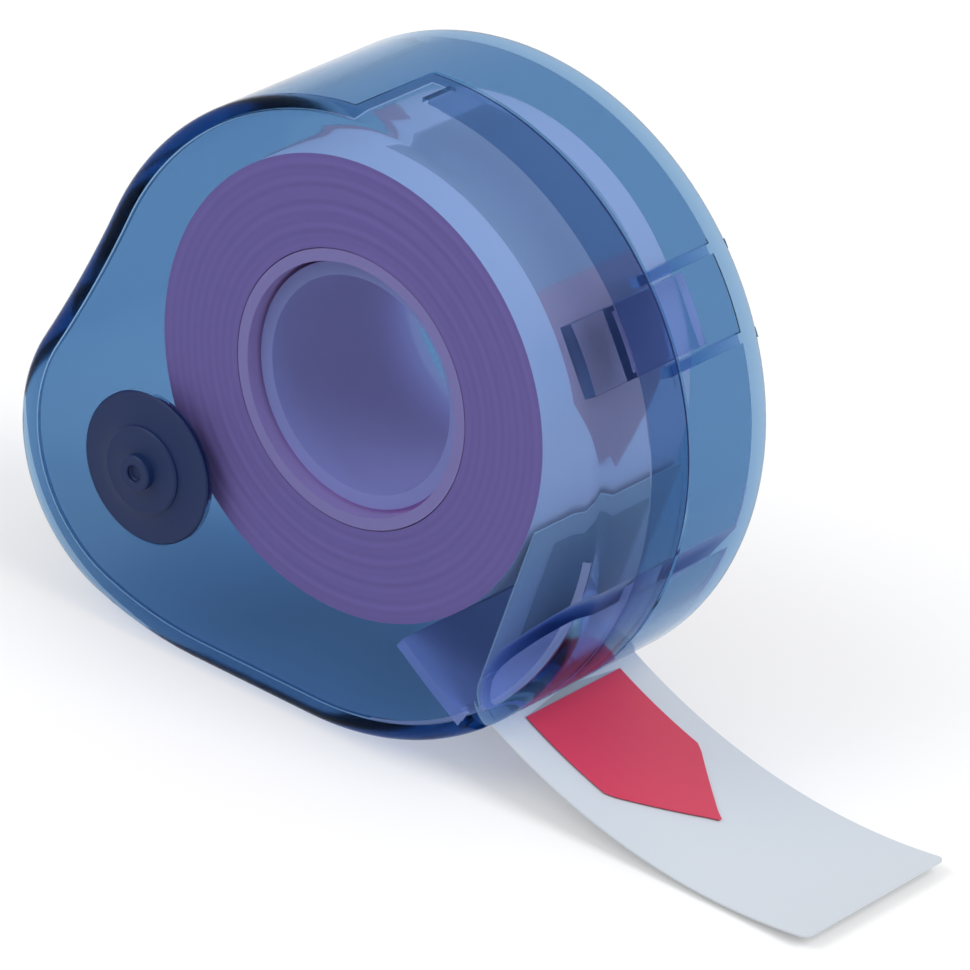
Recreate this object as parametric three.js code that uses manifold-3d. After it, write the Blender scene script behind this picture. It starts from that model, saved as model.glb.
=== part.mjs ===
// Roll of sticky arrow flags in a see-through dispenser with a teardrop outline.
// Millimetres, +Z up. X runs along the flat base, Y from the front face to the rear face.
// The origin is in the middle of the flat base, half way through the depth.

import * as THREE from 'three';
import { mergeVertices } from 'three/addons/utils/BufferGeometryUtils.js';
import Module from 'manifold-3d';

const wasm = await Module();
wasm.setup();

// Case outline: a big circle round the roll, a small lobe at the left and a flat base
const bigRadius = 31.8;
const lobeRadius = 17.3;
const lobeLeft = 22;
const lobeDrop = 13.3;
const baseBend = 40;
const hollowRadius = 150;
const edgeRound = 2.4;
const outlineStep = 6;

// Walls
const plateWall = 1.6;
const rimWall = 1.6;
const innerRound = 0.7;

// Where the two mouldings meet
const seamDepth = 13.75;
const skirtDepth = 2.6;
const seamTop = 95;
const partGap = 0.3;
const lipDepth = 4;
const lipWall = 0.6;
const lipPlay = 0.2;
const lipMargin = 5;
const lipTrim = 1;

// Roll, its core and the hub it turns on
const rollLeft = 0.2;
const rollRise = 3;
const rollRadius = 23.2;
const coreBore = 12.7;
const coreWall = 1.2;
const windingGap = 0.1;
const hubPlay = 0.4;
const hubWall = 1.4;
const hubRecess = 2.7;
const turnPitch = 1.4;
const turnDepth = 0.15;
const roundSteps = 60;
const fineSteps = 72;

// Liner strip
const stripWidth = 21.6;
const rollSide = 1.2;
const stripThick = 0.25;
const stripCurl = 61.8;
const stripLowX = 48.6;
const stripReach = 58.8;
const stripLift = 0.35;
const stripCorner = 1;
const lipWrap = 3.5;
const rollGap = 0.3;
const wrapStations = 10;
const curlStations = 14;
const cornerShares = [0.5, 0.87, 1];

// Arrow flags
const flagWidth = 14.3;
const flagLength = 41;
const flagHead = 8.6;
const flagTip = 0.4;
const flagOut = 20.7;
const flagAside = 0.3;
const flagThick = 0.15;
const flagGap = 0.08;
const flagPitch = 44.2;
const flagsOnRoll = 3;
const flagBend = 4;
const headStations = 3;

// Slot and throat guides
const slotHeight = 1.8;
const slotSide = 0.3;
const guideWall = 1.2;
const guideSeat = 1;
const guideSpread = 4;
const guideStations = 14;
const upperGuideReach = 37;
const upperGuideOff = 1.8;
const upperGuideBow = 0.25;
const lowerGuideReach = 16.6;
const lowerGuideBow = 0.3;
const lowerGuideStations = 5;
const notchDepth = 2.8;
const notchWidth = 1.5;

// Snap tongue of the cover and the two catch ribs of the back
const tongueAngle = 32;
const tongueWidth = 7;
const tongueThick = 1.2;
const tongueFront = 3.5;
const tongueReach = 20;
const catchWall = 1;
const catchPlay = 0.4;

// Locking stud and its socket in the small lobe
const studHead = 7.8;
const studHeadThick = 0.6;
const studStep = 4.5;
const studStepRise = 0.8;
const studStepLedge = 0.4;
const studBevel = 1.6;
const studNub = 1.85;
const studNubRise = 1.8;
const studDimple = 0.83;
const studSink = 0.5;
const studShank = 2.1;
const studLength = 15;
const studPlay = 0.15;
const socketBore = 2.4;
const socketWall = 0.8;
const socketFront = 3;
const studSteps = 40;

// How far a cutting shape runs past what it cuts, and how near two points count as one
const cutOver = 1;
const hair = 0.01;
const bevelSteps = 4;
const samePoint = 1e-5;

// Places that follow from the sizes
const caseDepth = stripWidth + 2 * (rollSide + plateWall);
const frontY = -caseDepth / 2;
const backY = caseDepth / 2;
const seamY = frontY + seamDepth;
const innerFrontY = frontY + plateWall;
const innerBackY = backY - plateWall;
const degrees = Math.PI / 180;
const middle = new THREE.Vector2(0, 0);
const lobe = new THREE.Vector2(-lobeLeft, -lobeDrop);
const roll = new THREE.Vector2(-rollLeft, rollRise);
const baseBendX = lobe.x + Math.sqrt((baseBend - lobeRadius) ** 2 - (baseBend - bigRadius - lobe.y) ** 2);
const caseShiftX = -baseBendX / 2;
const studSinkDepth = studHeadThick + studPlay;

// The outline is drawn round the big circle's centre, and this moves a piece to the base's middle
const toBase = [caseShiftX, 0, bigRadius];

function polar(centre, radius, angle) {
  return new THREE.Vector2(centre.x + radius * Math.cos(angle), centre.y + radius * Math.sin(angle));
}

function arcPoints(centre, radius, from, to, step) {
  const count = Math.max(2, Math.ceil(Math.abs(to - from) / (step * degrees)));
  return Array.from({ length: count + 1 }, (_, i) => polar(centre, radius, from + (to - from) * i / count));
}

// Outline of the case, pulled in by inset
function caseOutline(inset) {
  const apart = lobe.length();
  const toBig = hollowRadius + bigRadius;
  const toLobe = hollowRadius + lobeRadius;
  const cosine = (toBig ** 2 + apart ** 2 - toLobe ** 2) / (2 * toBig * apart);
  const hollowAngle = Math.atan2(lobe.y, lobe.x) + 2 * Math.PI - Math.acos(cosine);
  const hollow = polar(middle, toBig, hollowAngle);
  const lobeMeets = Math.atan2(hollow.y - lobe.y, hollow.x - lobe.x);
  const bend = new THREE.Vector2(baseBendX, baseBend - bigRadius);
  const bendMeets = Math.atan2(lobe.y - bend.y, lobe.x - bend.x);
  const bigArc = arcPoints(middle, bigRadius - inset, -Math.PI / 2, hollowAngle, outlineStep);
  const hollowArc = arcPoints(hollow, hollowRadius + inset, hollowAngle - Math.PI, lobeMeets - Math.PI, 2);
  const lobeArc = arcPoints(lobe, lobeRadius - inset, lobeMeets, bendMeets + 2 * Math.PI, 2 * outlineStep);
  const bendArc = arcPoints(bend, baseBend - inset, bendMeets, -Math.PI / 2, outlineStep);
  return [...bigArc, ...hollowArc.slice(1), ...lobeArc.slice(1), ...bendArc.slice(1)];
}

function toSolid(geometry) {
  const bare = geometry.clone();
  bare.deleteAttribute('normal');
  bare.deleteAttribute('uv');
  const merged = mergeVertices(bare, samePoint);
  const vertProperties = new Float32Array(merged.attributes.position.array);
  const triVerts = new Uint32Array(merged.index.array);
  return new wasm.Manifold(new wasm.Mesh({ numProp: 3, vertProperties, triVerts }));
}

function toGeometry(solid) {
  const mesh = solid.getMesh();
  const geometry = new THREE.BufferGeometry();
  geometry.setAttribute('position', new THREE.BufferAttribute(new Float32Array(mesh.vertProperties), 3));
  geometry.setIndex(new THREE.BufferAttribute(new Uint32Array(mesh.triVerts), 1));
  geometry.computeVertexNormals();
  return geometry;
}

// Prism of a closed outline in X and Z between two depths, with its edges rounded if asked
function prism(points, fromY, toY, round = 0) {
  const shape = new THREE.Shape(points);
  const depth = toY - fromY - 2 * round;
  const options = { depth, steps: 1, curveSegments: 1, bevelEnabled: round > 0 };
  if (round > 0) {
    options.bevelThickness = round;
    options.bevelSize = round;
    options.bevelOffset = -round;
    options.bevelSegments = bevelSteps;
  }
  const geometry = new THREE.ExtrudeGeometry(shape, options);
  geometry.translate(0, 0, round);
  geometry.rotateX(Math.PI / 2);
  geometry.translate(0, toY, 0);
  return toSolid(geometry);
}

// Solid of revolution about a line along Y through the given centre
function turned(profile, centre, steps = roundSteps) {
  const closed = [...profile, profile[0]];
  const geometry = new THREE.LatheGeometry(closed.map(([r, y]) => new THREE.Vector2(r, y)), steps);
  geometry.translate(centre.x, 0, centre.y);
  return toSolid(geometry);
}

function ring(centre, inner, outer, fromY, toY) {
  return turned([[inner, fromY], [outer, fromY], [outer, toY], [inner, toY]], centre);
}

function disc(centre, radius, fromY, toY) {
  const points = arcPoints(centre, radius, 0, 2 * Math.PI, 360 / roundSteps).slice(0, -1);
  return prism(points, fromY, toY);
}

// Slice of pie about the big circle's centre, used to divide the rim
function sector(fromAngle, toAngle, radius, fromY, toY) {
  const rim = arcPoints(middle, radius, fromAngle, toAngle, outlineStep);
  return prism([middle, ...rim], fromY, toY);
}

// Thin band that follows a path, with its own width at each station
function ribbon(stations, thick) {
  const positions = [];
  const index = [];
  for (const { point, normal, lowY, highY } of stations) {
    for (const [y, side] of [[lowY, -1], [highY, -1], [highY, 1], [lowY, 1]]) {
      positions.push(point.x + normal.x * side * thick / 2, y, point.y + normal.y * side * thick / 2);
    }
  }
  const last = 4 * (stations.length - 1);
  for (let base = 0; base < last; base += 4) {
    for (let k = 0; k < 4; k++) {
      const a = base + k;
      const b = base + (k + 1) % 4;
      index.push(a, b, b + 4, a, b + 4, a + 4);
    }
  }
  index.push(0, 2, 1, 0, 3, 2, last, last + 1, last + 2, last, last + 2, last + 3);
  const geometry = new THREE.BufferGeometry();
  geometry.setAttribute('position', new THREE.Float32BufferAttribute(positions, 3));
  geometry.setIndex(index);
  return toSolid(geometry);
}

// Band of one width along a list of points
function band(points, thick, lowY, highY) {
  const stations = points.map((point, i) => {
    const before = points[Math.max(i - 1, 0)];
    const after = points[Math.min(i + 1, points.length - 1)];
    const along = after.clone().sub(before).normalize();
    return { point, normal: new THREE.Vector2(-along.y, along.x), lowY, highY };
  });
  return ribbon(stations, thick);
}

// Path of the liner: off the roll, round the upper lip, and out in one long upward curl
const curlCentre = new THREE.Vector2(stripLowX, stripCurl + stripLift + stripThick / 2 - bigRadius);

function curlCrossing() {
  const apart = curlCentre.length();
  const cosine = (apart ** 2 + stripCurl ** 2 - bigRadius ** 2) / (2 * apart * stripCurl);
  return Math.atan2(-curlCentre.y, -curlCentre.x) + Math.acos(cosine);
}

const exitAngle = curlCrossing();
const slotPoint = polar(curlCentre, stripCurl, exitAngle);
const wrapCentre = polar(curlCentre, stripCurl - lipWrap, exitAngle);
const leaveRadius = rollRadius + rollGap + flagThick + flagGap + stripThick / 2;
const toWrap = wrapCentre.clone().sub(roll);
const leaveAngle = Math.atan2(toWrap.y, toWrap.x) + Math.acos((leaveRadius + lipWrap) / toWrap.length());
const leavePoint = polar(roll, leaveRadius, leaveAngle);
const wrapStart = polar(wrapCentre, lipWrap, leaveAngle + Math.PI);
const straightLength = leavePoint.distanceTo(wrapStart);
const wrapTurn = exitAngle + 2 * Math.PI - (leaveAngle + Math.PI);
const slotAt = straightLength + lipWrap * wrapTurn;
const slotTurn = Math.atan2(slotPoint.y, slotPoint.x);
const curlTurn = Math.asin((stripReach - stripLowX) / stripCurl) - Math.PI / 2 - exitAngle;
const stripLength = slotAt + stripCurl * curlTurn;

// Place and upward normal of the liner at a distance along it from the roll
function linerAt(distance) {
  if (distance < straightLength) {
    const point = leavePoint.clone().lerp(wrapStart, distance / straightLength);
    return { point, normal: polar(middle, 1, leaveAngle) };
  }
  if (distance < slotAt) {
    const angle = leaveAngle + Math.PI + (distance - straightLength) / lipWrap;
    return { point: polar(wrapCentre, lipWrap, angle), normal: polar(middle, -1, angle) };
  }
  const angle = exitAngle + (distance - slotAt) / stripCurl;
  return { point: polar(curlCentre, stripCurl, angle), normal: polar(middle, -1, angle) };
}

// Distances along the liner at which a band needs a station between two ends
function linerStations(from, to) {
  const wanted = [from, to];
  for (let k = 0; k <= wrapStations; k++) {
    wanted.push(straightLength + (slotAt - straightLength) * k / wrapStations);
  }
  for (let k = 1; k <= curlStations; k++) {
    wanted.push(slotAt + (stripLength - slotAt) * k / curlStations);
  }
  const inside = wanted.filter((distance) => distance >= from && distance <= to);
  return [...new Set(inside)].sort((a, b) => a - b);
}

function linerBand(distances, thick, lift, aside, halfWidth) {
  const stations = distances.map((distance) => {
    const { point, normal } = linerAt(distance);
    const half = halfWidth(distance);
    const lifted = point.clone().addScaledVector(normal, lift);
    return { point: lifted, normal, lowY: aside - half, highY: aside + half };
  });
  return ribbon(stations, thick);
}

function linerStrip() {
  const tuck = (distance) => {
    const left = Math.max(0, distance - (stripLength - stripCorner));
    return stripWidth / 2 - stripCorner + Math.sqrt(Math.max(0, stripCorner ** 2 - left ** 2));
  };
  const end = cornerShares.map((share) => stripLength - stripCorner + share * stripCorner);
  const distances = [...linerStations(0, stripLength - stripCorner), ...end];
  return linerBand(distances, stripThick, 0, 0, tuck);
}

// Half the width of an arrow at a distance from its tip
function arrowHalf(fromTip) {
  return Math.min(flagWidth, Math.max(flagTip, flagWidth * fromTip / flagHead)) / 2;
}

function arrowFlag() {
  const tip = slotAt + flagOut;
  const start = tip - flagLength;
  const lift = stripThick / 2 + flagGap + flagThick / 2;
  const distances = linerStations(start, tip).concat(tip - flagHead).sort((a, b) => a - b);
  return linerBand(distances, flagThick, lift, flagAside, (distance) => arrowHalf(tip - distance));
}

// Arrow flag on the outer turn of the roll, with its tip towards the strip
function rollFlag(number) {
  const radius = rollRadius + flagGap + flagThick / 2;
  const tip = (flagPitch * number + flagPitch - flagLength) / radius + leaveAngle;
  const headTurn = flagHead / radius;
  const tailTurn = (flagLength - flagHead) / radius;
  const count = Math.ceil(tailTurn / (flagBend * degrees));
  const turns = [];
  for (let k = 0; k < headStations; k++) {
    turns.push(headTurn * k / headStations);
  }
  for (let k = 0; k <= count; k++) {
    turns.push(headTurn + tailTurn * k / count);
  }
  const stations = turns.map((turn) => {
    const half = arrowHalf(turn * radius);
    const point = polar(roll, radius, tip + turn);
    const normal = point.clone().sub(roll).normalize().negate();
    return { point, normal, lowY: flagAside - half, highY: flagAside + half };
  });
  return ribbon(stations, flagThick);
}

// Hollow case before it is divided: rounded outside, rounded room inside
function caseShell() {
  const outside = prism(caseOutline(0), frontY, backY, edgeRound);
  const room = prism(caseOutline(rimWall), innerFrontY, innerBackY, innerRound);
  return outside.subtract(room);
}

// The cover owns the front skin all round and the rim from the slot up to the top of the seam
function coverRegion(grow) {
  const far = 2 * (bigRadius + lobeLeft);
  const slab = boxAt(0, -far, far, far, 0, frontY - cutOver, frontY + skirtDepth + grow);
  const top = seamTop * degrees + grow / bigRadius;
  return slab.add(sector(slotTurn, top, far, frontY - cutOver, seamY + grow));
}

// Inner lip of the back that the cover's rim slips over
function lipRing(outerInset, innerInset, fromY, toY, trim) {
  const outer = prism(caseOutline(outerInset), fromY, toY);
  const inner = prism(caseOutline(innerInset), fromY - cutOver, toY + cutOver);
  const from = slotTurn + (lipMargin + trim) * degrees;
  const to = (seamTop - lipMargin - trim) * degrees;
  return outer.subtract(inner).intersect(sector(from, to, 2 * bigRadius, fromY - cutOver, toY + cutOver));
}

// Room that the strip needs on its way out, with a little play all round
function slotRoom(lowY, highY) {
  const clear = lipWrap + notchDepth;
  const distances = linerStations(slotAt - clear, slotAt + clear);
  const stations = distances.map((distance) => ({ ...linerAt(distance), lowY, highY }));
  return ribbon(stations, slotHeight);
}

// Upper throat guide: from the upper lip up beside the strip, then across to the rim
function upperGuide(lowY, highY) {
  const lip = polar(middle, bigRadius - guideSeat, slotTurn + guideSpread * degrees);
  const seat = polar(middle, bigRadius - guideSeat, slotTurn + upperGuideReach * degrees);
  const away = polar(middle, upperGuideOff, leaveAngle);
  const beside = wrapStart.clone().add(away);
  const above = beside.clone().lerp(leavePoint.clone().add(away), upperGuideBow);
  const curve = new THREE.SplineCurve([lip, beside, above, seat]);
  return band(curve.getPoints(guideStations), guideWall, lowY, highY);
}

// Lower throat guide: from the lower lip in under the roll
function lowerGuide(lowY, highY) {
  const lip = polar(middle, bigRadius - guideSeat, slotTurn - guideSpread * degrees);
  const rollClear = rollRadius + flagThick + flagGap + guideWall / 2 + 2 * rollGap;
  const end = polar(roll, rollClear, slotTurn - lowerGuideReach * degrees);
  const bow = lip.clone().lerp(end, 1 / 2);
  bow.setLength(bow.length() + lowerGuideBow);
  const curve = new THREE.QuadraticBezierCurve(lip, bow, end);
  return band(curve.getPoints(lowerGuideStations), guideWall, lowY, highY);
}

// Box that points outwards at an angle about the big circle's centre
function boxAt(angle, inner, outer, halfWidth, offset, fromY, toY) {
  const along = new THREE.Vector2(Math.cos(angle), Math.sin(angle));
  const across = new THREE.Vector2(-along.y, along.x);
  const corners = [[inner, -1], [outer, -1], [outer, 1], [inner, 1]].map(([r, side]) =>
    along.clone().multiplyScalar(r).addScaledVector(across, offset + side * halfWidth));
  return prism(corners, fromY, toY);
}

function snapTongue() {
  const angle = tongueAngle * degrees;
  const outer = bigRadius - rimWall - partGap;
  const inner = outer - tongueThick;
  const start = frontY + tongueFront;
  const rootEnd = seamY - lipDepth - 2 * partGap;
  const blade = boxAt(angle, inner, outer, tongueWidth / 2, 0, start, frontY + tongueReach);
  return blade.add(boxAt(angle, inner, bigRadius - rimWall / 2, tongueWidth / 2, 0, start, rootEnd));
}

function catchRibs() {
  const angle = tongueAngle * degrees;
  const outer = bigRadius - rimWall / 2;
  const inner = bigRadius - rimWall - partGap - tongueThick;
  const offset = tongueWidth / 2 + catchPlay + catchWall / 2;
  const ribs = [-1, 1].map((side) =>
    boxAt(angle, inner, outer, catchWall / 2, side * offset, seamY + partGap, innerBackY + plateWall / 2));
  return ribs[0].add(ribs[1]);
}

function caseCover() {
  const wall = caseShell().intersect(coverRegion(0));
  const lipRoom = rimWall - lipWall - lipPlay;
  const rebateStart = seamY - lipDepth - partGap;
  const rebate = lipRing(lipRoom, rimWall + cutOver, rebateStart, seamY + cutOver, -lipTrim);
  const inside = prism(caseOutline(plateWall / 2), frontY, backY);
  const guide = upperGuide(innerFrontY - plateWall / 2, seamY).intersect(inside);
  const studHole = disc(lobe, studShank + studPlay, frontY - cutOver, innerFrontY + cutOver);
  const studSeat = disc(lobe, studHead + studPlay, frontY - cutOver, frontY + studSinkDepth);
  const notchEnds = [-notchDepth, 0, notchDepth].map((offset) => linerAt(slotAt + offset).point);
  const notch = band(notchEnds, notchWidth, frontY - cutOver, innerFrontY + cutOver);
  return wall.add(guide)
    .subtract(rebate)
    .add(snapTongue())
    .subtract(slotRoom(-stripWidth / 2 - slotSide, backY))
    .subtract(notch)
    .subtract(studHole)
    .subtract(studSeat);
}

function caseBack() {
  const wall = caseShell().subtract(coverRegion(partGap));
  const lip = lipRing(rimWall - lipWall, rimWall + hair, seamY - lipDepth, seamY + cutOver, 0);
  const inside = prism(caseOutline(plateWall / 2), frontY, backY - plateWall / 2);
  const rear = innerBackY + plateWall / 2;
  const upper = upperGuide(seamY + partGap, rear).intersect(inside);
  const skirtEnd = frontY + skirtDepth + partGap;
  const skirtRoom = prism(caseOutline(rimWall + partGap), frontY, skirtEnd);
  const skirt = prism(caseOutline(0), frontY, skirtEnd).subtract(skirtRoom);
  const lower = lowerGuide(innerFrontY + partGap, rear).intersect(inside).subtract(skirt);
  const hub = ring(roll, coreBore - hubPlay - hubWall, coreBore - hubPlay, innerFrontY + hubRecess, rear);
  const socket = ring(lobe, socketBore, socketBore + socketWall, innerFrontY + socketFront, rear);
  return wall.add(lip)
    .add(upper)
    .add(lower)
    .add(hub)
    .add(socket)
    .add(catchRibs())
    .subtract(slotRoom(frontY, stripWidth / 2 + slotSide));
}

// Stepped stud: sunk head, step and nub at the front, shank behind
function lockingStud() {
  const seat = frontY + studHeadThick;
  return turned([
    [0, frontY - studNubRise + studSink],
    [studDimple, frontY - studNubRise + studSink],
    [studDimple, frontY - studNubRise],
    [studNub, frontY - studNubRise],
    [studNub, frontY - studStepRise],
    [studStep, frontY - studStepRise],
    [studStep, frontY - studStepLedge],
    [studHead - studBevel, frontY],
    [studHead, frontY],
    [studHead, seat],
    [studShank, seat],
    [studShank, seat + studLength],
    [0, seat + studLength]
  ], lobe, studSteps);
}

function rollCore() {
  return ring(roll, coreBore, coreBore + coreWall, -stripWidth / 2, stripWidth / 2);
}

// Wound turns: a ring whose two sides show the turns as fine steps
function flagRoll() {
  const inner = coreBore + coreWall + windingGap;
  const half = stripWidth / 2;
  const count = Math.round((rollRadius - inner) / turnPitch);
  const pitch = (rollRadius - inner) / count;
  const front = [];
  for (let k = 0; k < count; k++) {
    const from = inner + k * pitch;
    const sink = k % 2 ? turnDepth : 0;
    front.push([from, -half + sink], [from + pitch, -half + sink]);
  }
  const back = front.map(([r, y]) => [r, -y]).reverse();
  const clean = [...front, ...back].filter(([r, y], i, all) => {
    const [pr, py] = all[(i + all.length - 1) % all.length];
    return Math.hypot(r - pr, y - py) > samePoint;
  });
  return turned(clean, roll, fineSteps);
}

// Finishes
const finishes = {
  tintedPlastic: { color: 0x4f74b8, roughness: 0.12, metalness: 0, transparent: true, opacity: 0.45 },
  darkPlastic: { color: 0x2a3350, roughness: 0.35, metalness: 0 },
  flagRed: { color: 0xc84560, roughness: 0.45, metalness: 0 },
  liner: { color: 0xd3dbe6, roughness: 0.4, metalness: 0 },
  wound: { color: 0xb7a8c4, roughness: 0.7, metalness: 0 },
  card: { color: 0xcfc9bd, roughness: 0.85, metalness: 0 }
};

function piece(name, solid, finish) {
  const mesh = new THREE.Mesh(toGeometry(solid), new THREE.MeshStandardMaterial(finishes[finish]));
  mesh.name = name;
  mesh.position.set(...toBase);
  return mesh;
}

const dispenser = new THREE.Group();
dispenser.add(
  piece('case_back', caseBack(), 'tintedPlastic'),
  piece('case_cover', caseCover(), 'tintedPlastic'),
  piece('locking_stud', lockingStud(), 'darkPlastic'),
  piece('roll_core', rollCore(), 'card'),
  piece('flag_roll', flagRoll(), 'wound'),
  piece('liner_strip', linerStrip(), 'liner'),
  piece('arrow_flag', arrowFlag(), 'flagRed')
);
for (let number = 0; number < flagsOnRoll; number++) {
  dispenser.add(piece(`roll_flag_${number + 1}`, rollFlag(number), 'flagRed'));
}

export default dispenser;
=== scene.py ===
# %% [markdown]
# # Sticky arrow flags on a roll, in a see-through case
# The thing is a hand-held dispenser: two moulded halves of tinted styrene hold a roll of sticky flags.
# The free end of the liner leaves a slot at the lower right with one flag on it.
# The frame holds the solids at their real size. This file dresses them in metres, in the same place.

import math

import bmesh
import bpy
from mathutils import Matrix, Vector


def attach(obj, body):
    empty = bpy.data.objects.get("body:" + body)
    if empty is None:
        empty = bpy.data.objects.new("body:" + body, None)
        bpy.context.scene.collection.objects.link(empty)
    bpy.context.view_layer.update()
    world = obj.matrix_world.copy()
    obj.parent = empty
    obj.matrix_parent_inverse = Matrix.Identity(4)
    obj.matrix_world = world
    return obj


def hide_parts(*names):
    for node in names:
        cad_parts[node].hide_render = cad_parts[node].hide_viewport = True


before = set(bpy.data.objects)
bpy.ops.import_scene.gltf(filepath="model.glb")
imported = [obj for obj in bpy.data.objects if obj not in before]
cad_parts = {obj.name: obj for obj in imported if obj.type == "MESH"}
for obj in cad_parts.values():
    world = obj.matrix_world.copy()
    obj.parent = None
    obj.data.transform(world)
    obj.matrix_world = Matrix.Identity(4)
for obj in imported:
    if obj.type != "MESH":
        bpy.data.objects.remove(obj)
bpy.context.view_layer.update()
scene = bpy.context.scene

# %% [markdown]
# ## Sizes
# All lengths are written in millimetres and turned to metres by one factor.
# Points are written as X and Z, seen from the front, because the case is an outline with a depth.
# The outline is a big circle, a small lobe, a shallow hollow between them and a slight bend to the base.

# %% Sizes of the case
MM = 0.001
FRONT = -13.6
BACK = 13.6
BIG = (7.3586, 31.8)
BIG_RADIUS = 31.8
LOBE = (-14.6414, 18.5)
LOBE_RADIUS = 17.3
HOLLOW_RADIUS = 150.0
BEND = (-7.3586, 40.0)
EDGE_ROUND = 2.4
WALL = 1.6


def angle_to(start, end):
    return math.atan2(end[1] - start[1], end[0] - start[0])


def around(centre, radius, angle):
    return (centre[0] + radius * math.cos(angle), centre[1] + radius * math.sin(angle))


def between(start, end, share):
    return (start[0] + (end[0] - start[0]) * share, start[1] + (end[1] - start[1]) * share)


def hollow_centre():
    to_big = HOLLOW_RADIUS + BIG_RADIUS
    to_lobe = HOLLOW_RADIUS + LOBE_RADIUS
    apart = math.dist(BIG, LOBE)
    cosine = (to_big ** 2 + apart ** 2 - to_lobe ** 2) / (2 * to_big * apart)
    return around(BIG, to_big, angle_to(BIG, LOBE) - math.acos(cosine))


HOLLOW = hollow_centre()
print("the hollow's centre is at", HOLLOW)

# %% [markdown]
# ## The path of the strip
# The liner leaves the roll in a straight line, wraps round the lip of the lower guide,
# goes through the slot and curls down and up again outside.
# The curl is an arc that was measured in the picture. Where it crosses the big circle is the slot,
# and the line and the wrap are worked out so that each meets the next one smoothly.

# %% Sizes of the roll and the strip
ROLL = (7.1586, 34.8)
ROLL_RADIUS = 23.2
LEAVE_RADIUS = ROLL_RADIUS + 0.655
WRAP_RADIUS = 3.5
CURL_RADIUS = 61.8
CURL_LOW_POINT = (48.6 + BIG[0], 0.475)
CURL = (CURL_LOW_POINT[0], CURL_RADIUS + CURL_LOW_POINT[1])
STRIP_END_X = 58.8 + BIG[0]
STRIP_HALF = 10.8


def exit_turn():
    apart = math.dist(BIG, CURL)
    cosine = (apart ** 2 + CURL_RADIUS ** 2 - BIG_RADIUS ** 2) / (2 * apart * CURL_RADIUS)
    return angle_to(CURL, BIG) + math.acos(cosine)


EXIT = exit_turn()
SLOT = around(CURL, CURL_RADIUS, EXIT)
SLOT_TURN = angle_to(BIG, SLOT)
WRAP = around(CURL, CURL_RADIUS - WRAP_RADIUS, EXIT)
LEAVE = angle_to(ROLL, WRAP) + math.acos((LEAVE_RADIUS + WRAP_RADIUS) / math.dist(ROLL, WRAP))
LEAVE_POINT = around(ROLL, LEAVE_RADIUS, LEAVE)
WRAP_START = around(WRAP, WRAP_RADIUS, LEAVE + math.pi)
WRAP_SWEEP = EXIT + math.tau - LEAVE - math.pi
CURL_SWEEP = math.asin((STRIP_END_X - CURL[0]) / CURL_RADIUS) - math.pi / 2 - EXIT
STRAIGHT = math.dist(LEAVE_POINT, WRAP_START)
SLOT_AT = STRAIGHT + WRAP_RADIUS * WRAP_SWEEP
STRIP_LENGTH = SLOT_AT + CURL_SWEEP * CURL_RADIUS


def liner_point(distance):
    if distance < STRAIGHT:
        return between(LEAVE_POINT, WRAP_START, distance / STRAIGHT)
    if distance < SLOT_AT:
        return around(WRAP, WRAP_RADIUS, LEAVE + math.pi + (distance - STRAIGHT) / WRAP_RADIUS)
    return around(CURL, CURL_RADIUS, EXIT + (distance - SLOT_AT) / CURL_RADIUS)


print("slot at", SLOT, "turn", math.degrees(SLOT_TURN))
print("strip inside", SLOT_AT, "and outside", CURL_SWEEP * CURL_RADIUS)

# %% [markdown]
# ## Drawing with one point
# A curved outline could be typed in as points, or traced with a curve object.
# Here one vertex is the pen. It is extruded for a straight line and spun round a centre for an arc,
# so every arc is true and meets the next one smoothly.

# %% The pen
MERGE = 0.001


def start_pen(name, point, y):
    bpy.ops.object.select_all(action="DESELECT")
    bpy.ops.mesh.primitive_plane_add(size=MM)
    drawn = bpy.context.object
    drawn.name = name
    bpy.ops.object.mode_set(mode="EDIT")
    bpy.ops.mesh.select_mode(type="VERT")
    bpy.ops.mesh.select_all(action="SELECT")
    bpy.ops.mesh.merge(type="CENTER")
    bpy.ops.transform.translate(value=(point[0] * MM, y * MM, point[1] * MM))
    return drawn


def pen_line(start, end):
    step = ((end[0] - start[0]) * MM, 0, (end[1] - start[1]) * MM)
    bpy.ops.mesh.extrude_region_move(TRANSFORM_OT_translate={"value": step})


def pen_arc(centre, sweep, steps):
    bpy.ops.mesh.spin(
        steps=steps, angle=sweep, center=(centre[0] * MM, 0, centre[1] * MM), axis=(0, 1, 0))


def push_back(depth):
    bpy.ops.mesh.select_all(action="SELECT")
    bpy.ops.mesh.extrude_region_move(TRANSFORM_OT_translate={"value": (0, depth * MM, 0)})


def fill_and_push(depth):
    bpy.ops.mesh.select_all(action="SELECT")
    bpy.ops.mesh.edge_face_add()
    push_back(depth)
    bpy.ops.mesh.select_all(action="SELECT")
    bpy.ops.mesh.normals_make_consistent(inside=False)


def merge_doubles():
    bpy.ops.mesh.select_all(action="SELECT")
    bpy.ops.mesh.remove_doubles(threshold=MERGE * MM)


def leave_edit(drawn):
    bpy.ops.object.mode_set(mode="OBJECT")
    print(drawn.name, "has", len(drawn.data.polygons), "faces")
    return drawn


# %% [markdown]
# ## Picking, cutting and joining
# Points, edges and faces are picked in edit mode by a test on their place, as a hand would pick them.
# Walls that grow into one another are joined by exact booleans, which leave no buried faces.

# %% Picking and modifiers


def pick(drawn, kind, wanted):
    bpy.ops.mesh.select_mode(type=kind)
    bpy.ops.mesh.select_all(action="DESELECT")
    mesh = bmesh.from_edit_mesh(drawn.data)
    parts = {"VERT": mesh.verts, "EDGE": mesh.edges, "FACE": mesh.faces}[kind]
    for part in parts:
        part.select_set(wanted(part))
    bmesh.update_edit_mesh(drawn.data)


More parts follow.
